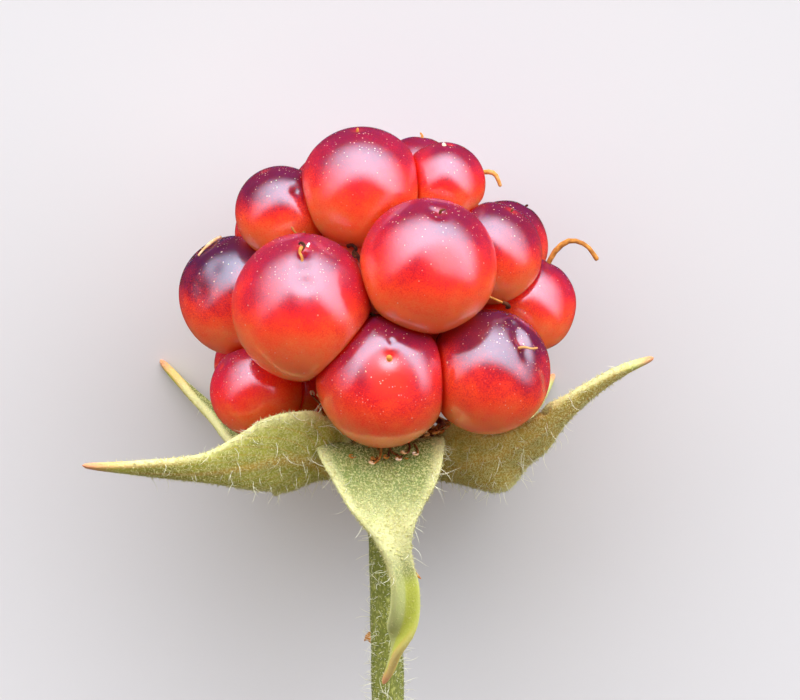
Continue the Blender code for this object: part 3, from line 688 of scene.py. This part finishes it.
# Leaf under felt: a matt surface, olive green to golden brown, pale and woolly towards the margins, with a
# lighter midrib and arching side veins on the back, and an orange tan tip.
felted_leaf = new_material("felted sepal leaf", {
    "Roughness": 0.85, "Subsurface Weight": 0.3, "Subsurface Radius": (0.6, 0.8, 0.25),
    "Subsurface Scale": 0.25 * mm,
})
on_leaf = partial(add_node, felted_leaf)
place = on_leaf("TexCoord", out="Object")
side, share, inner_face, tan, bare, wool = (
    on_leaf("Attribute", out="Fac", attribute_name=name)
    for name in ("side", "share", "inner_face", "tan", "bare", "wool")
)
off_middle = on_leaf("Math", (side,), operation="ABSOLUTE")
# Patches of thicker and thinner felt, about 0.5 mm across, and the felt's own nap at 0.07 mm.
patches, nap = (
    on_leaf("TexNoise", {"Vector": place, "Scale": 1.0 / width, "Detail": detail})
    for width, detail in ((felt_patch_width, 3.0), (nap_width, 2.0))
)
# Side veins: arcs that leave the midrib every fourteenth of the length and sweep towards the tip.
swept_share = on_leaf("Math", (off_middle, -0.30, share), operation="MULTIPLY_ADD")
veins = on_leaf("Math", (swept_share, 1.0 / 28.0), operation="PINGPONG")
# Where the colours lie: a measure, the range over which it tells, and the amounts at both ends of that range.
patchy, vein, midrib, on_back, yellowed, greyed, one_side, tanned, other_side, at_tip, thin_felt, tufts = (
    on_leaf("MapRange", measured, interpolation_type="SMOOTHSTEP")
    for measured in (
        (patches, 0.35, 0.70, 0.0, 0.45), (veins, 0.0, 0.012, 0.45, 0.0), (off_middle, 0.03, 0.22, 0.75, 0.0),
        (inner_face, 0.0, 1.0, 1.0, 0.05), (bare, 0.0, 1.0, 0.0, 0.85), (bare, 0.0, 1.0, 0.0, 0.7),
        (side, -0.1, 0.25, 0.0, 1.0), (share, 0.72, 0.88, 0.0, 0.8), (side, -0.85, -0.55, 1.0, 0.0),
        (share, 0.90, 0.985, 0.0, 1.0), (bare, 0.0, 1.0, 0.55, 0.12), (nap, 0.46, 0.66, 0.0, 1.0),
    )
)
line = on_leaf("Math", (vein, midrib), operation="MAXIMUM")
back_lines, grey_edge, tan_edge, pale_tufts = (
    on_leaf("Math", pair, operation="MULTIPLY")
    for pair in ((line, on_back), (greyed, one_side), (tanned, other_side), (thin_felt, tufts))
)
leaf = linear("#B6B640")
for colour, amount in (
    ("#C89C40", tan), ("#6E7E30", inner_face), ("#7C7C24", patchy), ("#C99B3C", back_lines),
    # Past the felt the blade is a clear yellow green, greyer along one edge and tan along the other.
    ("#CACA44", yellowed), ("#BEC078", grey_edge), ("#E0AC58", tan_edge),
    ("#E2DA94", wool), ("#DB9260", at_tip), ("#E6DE90", pale_tufts),
):
    leaf = on_leaf("Mix", {0: amount, 6: leaf, 7: linear(colour)}, out=2, data_type="RGBA")
woolly = on_leaf("Bump", {"Strength": 0.7, "Distance": 0.03 * mm, "Height": nap})
fill_shader(felted_leaf, {"Base Color": leaf, "Normal": woolly})

# The cup's outline from the middle of its hollow over the rim to the middle of its foot: radius and place.
profile = (
    (0.0, cup_hollow_y), (0.55 * cup_rim_radius, cup_hollow_y),
    (0.88 * cup_rim_radius, cup_rim_y + 0.05 * mm), (0.98 * cup_rim_radius, cup_rim_y - 0.10 * mm),
    (cup_rim_radius, cup_rim_y - 0.35 * mm), (0.92 * cup_rim_radius, cup_rim_y - 0.85 * mm),
    (0.62 * cup_rim_radius, cup_foot_y + 0.42 * mm), (1.05 * cup_foot_radius, cup_foot_y + 0.08 * mm),
    (0.9 * cup_foot_radius, cup_foot_y), (0.0, cup_foot_y),
)
shape = bmesh.new()
outline = [shape.verts.new(head + Vector((radius, y, 0.0))) for radius, y in profile]
edges = [shape.edges.new(pair) for pair in zip(outline, outline[1:])]
bmesh.ops.spin(
    shape, geom=outline + edges, cent=head, axis=along, angle=2.0 * math.pi, steps=64, use_merge=True
)
bmesh.ops.remove_doubles(shape, verts=shape.verts, dist=1e-6)
cup = finished("calyx_cup", shape, felted_leaf, "felted_calyx", "calyx")
put_attributes(cup.data, side=0.45, share=0.1, inner_face=0.3, tan=0.3, bare=0.0, wool=0.1)
blades = {name: sepal_blade(name, rows, 1.7 * k) for k, (name, rows) in enumerate(sepals.items())}

# The felt and the long hairs. The calyx wears a nap of pale hairs an eighth of a millimetre long, and on the
# sepals' backs also long soft ones that curl. Each hair is a three-sided spike rooted just under the skin.
hair_root = 0.02 * mm
# The bend and the curl of each shape of long hair, in shares of its length.
long_hair_shapes = ((0.15, 0.1), (0.4, 0.3), (0.7, -0.4), (0.9, 0.6), (0.3, -0.2))
grown = np.random.default_rng(33)


def hair(cuts, bend, curl):
    """One hair of length and radius 1 that stands on the origin, bent towards +X."""
    shape = bmesh.new()
    bmesh.ops.create_cone(shape, cap_ends=True, segments=3, radius1=1.0, radius2=0.0, depth=1.0)
    bmesh.ops.translate(shape, vec=(0.0, 0.0, 0.5), verts=shape.verts)
    bmesh.ops.remove_doubles(shape, verts=shape.verts, dist=1e-4)
    rising = [edge for edge in shape.edges if abs(edge.verts[0].co.z - edge.verts[1].co.z) > 0.5]
    if cuts:
        bmesh.ops.subdivide_edges(shape, edges=rising, cuts=cuts)
    bmesh.ops.triangulate(shape, faces=shape.faces)
    mesh = to_mesh("hair", shape)
    places = vertex_places(mesh)
    thickness = np.sqrt(1.0 - 0.75 * places[:, 2]) / np.maximum(1.0 - places[:, 2], 1e-6)
    places[:, :2] *= np.where(places[:, 2] < 0.99, thickness, 1.0)[:, None]
    triangles = np.array([list(face.vertices) for face in mesh.polygons])
    bpy.data.meshes.remove(mesh)
    rise = places[:, 2].copy()
    return places[:, :2], rise - 0.35 * bend * rise ** 2, bend * rise ** 2, curl * rise ** 3, triangles


def unit(rows):
    return rows / np.linalg.norm(rows, axis=1)[:, None]


def over_skin(piece, per_mm2, weight):
    """Random points over a piece and the normals there, per_mm2 of them times the weight of the place."""
    mesh = piece.data
    mesh.calc_loop_triangles()
    corners = np.array([triangle.vertices[:] for triangle in mesh.loop_triangles])
    places = vertex_places(mesh)
    normals = np.array([vertex.normal for vertex in mesh.vertices])
    a, b, c = (places[corners[:, k]] for k in range(3))
    areas = 0.5 * np.linalg.norm(np.cross(b - a, c - a), axis=1) / mm ** 2
    shares = areas * weight(mesh)[corners].mean(axis=1)
    count = int(per_mm2 * shares.sum())
    chosen = corners[grown.choice(len(corners), count, p=shares / shares.sum())]
    mix = grown.dirichlet((1.0, 1.0, 1.0), count)
    points = (places[chosen] * mix[:, :, None]).sum(axis=1)
    facing = (normals[chosen] * mix[:, :, None]).sum(axis=1)
    return points, unit(facing)


def planted(name, piece, slot, node, per_mm2, weight, lean, stray, length, least, most, radius, kinds, made):
    """A coat of hairs over a piece, in one mesh. They lean along the fruit's axis and stray each its own way.
    Their length varies from a least to a most share, and each is a turned copy of one of the kinds."""
    points, normals = over_skin(piece, per_mm2, weight)
    drift = grown.normal(0.0, 1.0, normals.shape) * stray + lean * np.array(along)
    drift -= normals * (drift * normals).sum(axis=1)[:, None]
    directions = unit(normals + drift)
    lengths = length * grown.uniform(least, most, len(points))
    all_points, all_triangles, first = [], [], 0
    kind_of = grown.integers(0, len(kinds), len(points))
    sides = grown.normal(0.0, 1.0, points.shape)
    sides = unit(sides - directions * (sides * directions).sum(axis=1)[:, None])
    others = np.cross(directions, sides)
    for k, (section, rise, bend, curl, triangles) in enumerate(kinds):
        mine = kind_of == k
        reach = lengths[mine][:, None]
        across = section[None, :, 0] * radius + bend[None, :] * reach
        aside = section[None, :, 1] * radius + curl[None, :] * reach
        up = rise[None, :] * reach - hair_root
        made_points = points[mine][:, None, :] + (
            across[:, :, None] * sides[mine][:, None, :] + aside[:, :, None] * others[mine][:, None, :]
            + up[:, :, None] * directions[mine][:, None, :]
        )
        starts = first + np.arange(mine.sum()) * len(rise)
        all_points.append(made_points.reshape(-1, 3))
        all_triangles.append((triangles[None, :, :] + starts[:, None, None]).reshape(-1, 3))
        first += mine.sum() * len(rise)
    places = np.concatenate(all_points)
    places[:, 2] = np.maximum(places[:, 2], 0.0)
    mesh = bpy.data.meshes.new(name)
    mesh.from_pydata(places, [], np.concatenate(all_triangles))
    dressed(bpy.data.objects.new(name, mesh), made, slot, node)


def attribute_values(mesh, *names):
    values = np.empty((len(names), len(mesh.vertices)), np.float32)
    for row, name in zip(values, names):
        mesh.attributes[name].data.foreach_get("value", row)
    return values.astype(float)


def felt_weight(mesh):
    """Felt is thick where the blade is woolly or tan, thin on the inner face and nearly gone past its end."""
    wool, bare, inner_face, tan = attribute_values(mesh, "wool", "bare", "inner_face", "tan")
    return (0.7 + 0.9 * wool) * (1.0 - 0.92 * bare) * (1.0 - 0.30 * inner_face) * (1.0 + 0.4 * tan)


def long_weight(mesh):
    """Long hairs stand on the backs, most near the base and along the edges."""
    inner_face, share, side, bare = attribute_values(mesh, "inner_face", "share", "side", "bare")
    back = 1.0 - inner_face
    near_edge = soft_step(np.abs(side), 0.75, 1.0)
    return (back * 0.6 + 1.1 * near_edge * (0.3 + 0.7 * back)) * (1.25 - share) * (1.0 - 0.97 * bare)


# Plant hair: a thin dry tube full of air, cream white, that catches the light.
plant_hair = new_material("pale plant hair", {
    "Base Color": linear("#F3EDC0"), "Roughness": 0.6, "Sheen Weight": 0.3, "Sheen Roughness": 0.5,
})
# The felt's own short hairs are yellower, for the green of the leaf shines through them.
short_felt = new_material("yellow green plant felt", {"Base Color": linear("#DFD688"), "Roughness": 0.7})
felt_coat = dict(
    per_mm2=200, weight=felt_weight, lean=0.0, stray=1.1, length=0.12 * mm, least=0.5, most=1.5,
    radius=0.013 * mm, kinds=[hair(0, 0.0, 0.0)], made=short_felt,
)
long_coat = dict(
    per_mm2=8.0, weight=long_weight, lean=-0.35, stray=0.45, length=0.60 * mm, least=0.45, most=1.35,
    radius=0.010 * mm, kinds=[hair(3, bend, curl) for bend, curl in long_hair_shapes], made=plant_hair,
)
for name, blade in {**blades, "cup": cup}.items():
    planted("felt_" + name, blade, "felted_calyx", "calyx", **felt_coat)
    planted("long_hairs_" + name, blade, "felted_calyx", "calyx", **long_coat)

# The stamens. They once held the pollen, and are now withered threads in a ring inside the cup, each with a
# dry curled anther. They are pressed flat between the lowest drupelets and the sepals.
ring_y = -4.76 * mm
ring_radius = 2.00 * mm
ring_thickness = 0.22 * mm
ring_tone = 0.22
filament_radius = 0.040 * mm
filament_steps = 12
filament_sides = 7
filament_lift = 0.10 * mm
filament_tones = (0.22, 0.46)
filaments_in_bunch = 3
anther_radius = 0.040 * mm
anther_curl = 0.115 * mm
anther_steps = 10
anther_turn = 26
anther_tones = (0.3, 0.85)
# For each bunch of filaments: degrees round the axis, then the reach out and the rise in millimetres.
stamen_bunches = (
    (-8, 1.4, -0.45), (-2, 1.9, -0.5), (5, 1.8, -0.4), (12, 1.7, -0.45), (21, 1.6, -0.2),
    (27, 1.3, 0.2), (32, 1.2, 0.35), (37, 1.2, 0.25), (43, 1.1, 0.35),
    (-42, 2.0, 1.5), (-45, 1.9, 1.0), (-48, 1.7, 0.5), (-52, 1.6, 0.15), (50, 1.0, 0.3),
    (62, 1.3, 0.1), (80, 1.6, -0.3), (100, 1.8, -0.5), (120, 1.8, -0.5), (140, 1.9, -0.5),
    (160, 1.6, -0.4), (180, 1.8, -0.4), (-160, 1.5, -0.4), (-140, 1.7, -0.5), (-120, 1.6, -0.4),
    (-104, 1.2, -0.4),
)
wander = np.random.default_rng(5)
shape = bmesh.new()
ring_line = [head + round_axis(degrees, ring_radius, ring_y) for degrees in range(0, 361, 8)]
limb(shape, ring_line, [ring_thickness / 2] * len(ring_line), 8, ring_tone)
for degrees, reach, rise in stamen_bunches:
    for _ in range(filaments_in_bunch):
        turn_out = wander.uniform(-8.0, 8.0)
        far = reach * wander.uniform(0.45, 1.02) * mm
        line = []
        for i in range(filament_steps + 1):
            t = i / filament_steps
            swing = turn_out * t + 1.6 * math.sin(5.0 * t + turn_out)
            out = ring_radius + far * t
            forward = ring_y + rise * mm * t + 0.05 * mm * math.sin(9.0 * t + 2.0 * turn_out)
            line.append(round_axis(degrees + swing, out, forward))
        cleared = pushed_clear(np.array(line), filament_radius + filament_lift)
        line = [head + Vector(point) for point in cleared]
        girths = [filament_radius * (1.15 - 0.3 * i / filament_steps) for i in range(len(line))]
        limb(shape, line, girths, filament_sides, wander.uniform(*filament_tones))
        run = (line[-1] - line[-3]).normalized()
        aside = run.cross(Vector((0.2, 0.9, 0.4))).normalized()
        curl, girths = [], []
        for i in range(anther_steps + 1):
            turn = math.radians(anther_turn * i)
            width = anther_curl * (1.0 - 0.04 * i)
            curl.append(line[-1] + (run * math.sin(turn) + aside * (1.0 - math.cos(turn))) * width)
            girths.append(anther_radius * (0.6 + 0.4 * math.sin(math.pi * i / anther_steps)))
        limb(shape, curl, girths, filament_sides, wander.uniform(*anther_tones))
finished("withered_stamens", shape, withered, "dry_stamens", "stamens")

# The stalk. A round green stem, swollen where it bears the cup and cut square at the other end, with short
# down and longer soft hairs all over, and a few small tan prickles that hook back.
stalk_radius = 0.56 * mm
stalk_top_radius = 0.78 * mm
stalk_top_y = -7.14 * mm
stalk_flare = 1.1 * mm
stalk_end_y = -17.0 * mm
stalk_sides = 40
stalk_steps = 60
stalk_top_x = 0.05 * mm
stalk_lean_x = 0.15 * mm
stalk_sag = 0.12 * mm
stalk_fleck_width = 0.07 * mm
prickle_length = 0.75 * mm
prickle_radius = 0.20 * mm
prickle_hook = 0.25 * mm
prickle_steps = 12
prickle_sides = 12
prickle_tone = 0.5
# Degrees round the stalk and place along it in millimetres.
prickles = ((85, -9.9), (-150, -12.4), (170, -15.3))

# Living green skin, matt under its down, with light flecks 0.07 mm wide and twice as long.
stalk_skin = new_material("downy green stalk skin", {
    "Roughness": 0.6, "Subsurface Weight": 0.3, "Subsurface Radius": (0.5, 0.8, 0.2),
    "Subsurface Scale": 0.3 * mm,
})
on_stalk = partial(add_node, stalk_skin)
place = on_stalk("TexCoord", out="Object")
drawn_out = on_stalk("Mapping", {"Vector": place, "Scale": (1.0, 0.5, 1.0)})
flecks = on_stalk("TexNoise", {"Vector": drawn_out, "Scale": 1.0 / stalk_fleck_width, "Detail": 2.0})
green = on_stalk("ValToRGB", (flecks,))
colour_stops(green.node.color_ramp, (0.35, "#6E7222"), (0.55, "#82842C"), last=(0.75, "#BEBA60"))
ridges = on_stalk("Bump", {"Strength": 0.4, "Distance": 0.015 * mm, "Height": flecks})
fill_shader(stalk_skin, {"Base Color": green, "Normal": ridges})

shape = bmesh.new()
line, girths = [], []
for i in range(stalk_steps + 1):
    t = i / stalk_steps
    y = stalk_top_y + (stalk_end_y - stalk_top_y) * t
    flare = math.exp(-(((stalk_top_y - y) / stalk_flare) ** 2))
    sag = stalk_sag * math.sin(math.pi * t)
    line.append(head + Vector((stalk_top_x + stalk_lean_x * t, y, -sag)))
    uneven = stalk_radius * (1.0 + 0.02 * math.sin(31.0 * t))
    girths.append(uneven + (stalk_top_radius - stalk_radius) * flare)
limb(shape, line, girths, stalk_sides, 0.0)
stalk = finished("stalk", shape, stalk_skin, "green_stalk", "pedicel")

shape = bmesh.new()
for degrees, y in prickles:
    points = (
        round_axis(degrees, 0.3 * stalk_radius, y * mm) / mm,
        round_axis(degrees, stalk_radius + 0.35 * prickle_length, y * mm) / mm,
        round_axis(degrees, stalk_radius + 0.75 * prickle_length, y * mm - 0.45 * prickle_hook) / mm,
        round_axis(degrees, stalk_radius + prickle_length, y * mm - prickle_hook) / mm,
    )
    line, girths = [], []
    for i in range(prickle_steps + 1):
        t = i / prickle_steps
        line.append(head + Vector(smooth_row(points, t)) * mm)
        girths.append(prickle_radius * (1.5 * (1.0 - t) ** 1.3 + 0.06))
    limb(shape, line, girths, prickle_sides, prickle_tone)
finished("prickles", shape, withered, "green_stalk", "pedicel")


def everywhere(mesh):
    return np.ones(len(mesh.vertices))


down = dict(
    felt_coat, per_mm2=60, weight=everywhere, stray=0.8, length=0.10 * mm, most=1.4, radius=0.010 * mm,
    made=plant_hair,
)
soft_hairs = dict(
    long_coat, per_mm2=9, weight=everywhere, lean=0.25, stray=0.30, length=0.52 * mm, least=0.6, most=1.25,
    radius=0.011 * mm,
)
planted("stalk_down", stalk, "green_stalk", "pedicel", **down)
planted("stalk_hairs", stalk, "green_stalk", "pedicel", **soft_hairs)

# The floor, the light and the camera. A plain pale sweep, a weak key light from beyond the fruit's tip, a
# broad warm fill from beside the camera, a tent that lies mirrored on every drupelet, and a camera that looks
# down on the fruit.
photo_pixel = 0.034 * mm
photo_width = 800
# The photo's middle seen from the head's middle.
photo_middle_right = 17 * photo_pixel
photo_middle_down = 62 * photo_pixel
camera_tilt = math.radians(12)
camera_distance = 260 * mm
floor_half_width = 600 * mm
key_turn = math.radians(50)
sight = Vector((0.0, math.sin(camera_tilt), math.cos(camera_tilt)))
image_up = Vector((0.0, math.cos(camera_tilt), -math.sin(camera_tilt)))
image_right = Vector((1.0, 0.0, 0.0))
photo_middle = head + image_right * photo_middle_right - image_up * photo_middle_down

# Smooth paper, as even and pale as a photographer's sweep.
pale_floor = new_material("matt pale floor", {"Base Color": linear("#D0C9BA"), "Roughness": 0.9})
shape = bmesh.new()
bmesh.ops.create_grid(shape, x_segments=1, y_segments=1, size=floor_half_width)
floor = bpy.data.objects.new("floor", to_mesh("floor", shape))
floor.data.materials.append(pale_floor)
bpy.context.scene.collection.objects.link(floor)
# The gloss mirrors the tent alone, as it would over a dark ground, so the drupelets' rims stay deep red.
floor.visible_glossy = False


def soft_light(name, direction, distance, size, colour, watts):
    """A square soft light that isn't itself mirrored: what the skin mirrors is the tent."""
    lamp = bpy.data.lights.new(name, "AREA")
    lamp.shape = "SQUARE"
    lamp.size = size
    lamp.color = linear(colour)[:3]
    lamp.energy = watts
    holder = bpy.data.objects.new(name, lamp)
    holder.location = head + direction.normalized() * distance
    holder.rotation_euler = (-direction).to_track_quat("-Z", "Y").to_euler()
    holder.visible_glossy = False
    bpy.context.scene.collection.objects.link(holder)


key_direction = sight * math.cos(key_turn) + image_up * math.sin(key_turn) + image_right * 0.15
soft_light("key", key_direction, 250 * mm, 140 * mm, "#FFF6EA", 0.03)
fill_direction = sight * 0.9 - image_up * 0.40 - image_right * 0.20
soft_light("fill", fill_direction, 300 * mm, 260 * mm, "#FFE8D2", 0.15)

# The tent is white cloth, lit only on the camera's side and beyond the fruit's tip. What a drupelet mirrors
# of it is a wide bright arch over its upper side, with a leg down each flank.
world = bpy.data.worlds.new("tent")
bpy.context.scene.world = world
world.use_nodes = True
on_tent = partial(add_node, world)
looking = on_tent("TexCoord", out="Generated")
rightward, upward, cameraward = (
    on_tent("VectorMath", (looking, direction), out="Value", operation="DOT_PRODUCT")
    for direction in (image_right, image_up, sight)
)
spread = on_tent("Math", (rightward, rightward), operation="MULTIPLY")
lifted = on_tent("Math", (spread, 0.70, upward), operation="MULTIPLY_ADD")
over_fruit, on_camera_side = (
    on_tent("MapRange", measured, interpolation_type="SMOOTHSTEP")
    for measured in ((lifted, 0.12, 0.62), (cameraward, -0.25, 0.45))
)
arch = on_tent("Math", (over_fruit, on_camera_side), operation="MULTIPLY")
middle_bright = on_tent("Math", (spread, -5.2, 7.0), operation="MULTIPLY_ADD")
level = on_tent("Math", (rightward, 1.2, middle_bright), operation="MULTIPLY_ADD")
strength = on_tent("Math", (arch, level, 0.08), operation="MULTIPLY_ADD")
fill_inputs(world.node_tree.nodes["Background"], {"Strength": strength, "Color": linear("#DEE6FF")})

lens = bpy.data.cameras.new("camera")
lens.sensor_width = 36
lens.lens = lens.sensor_width * camera_distance / (photo_width * photo_pixel)
lens.clip_start = 10 * mm
camera = bpy.data.objects.new("camera", lens)
turned = Matrix((image_right, image_up, sight)).transposed().to_4x4()
camera.matrix_world = Matrix.Translation(photo_middle + sight * camera_distance) @ turned
bpy.context.scene.collection.objects.link(camera)
bpy.context.scene.camera = camera
bpy.context.scene.view_settings.view_transform = "Standard"
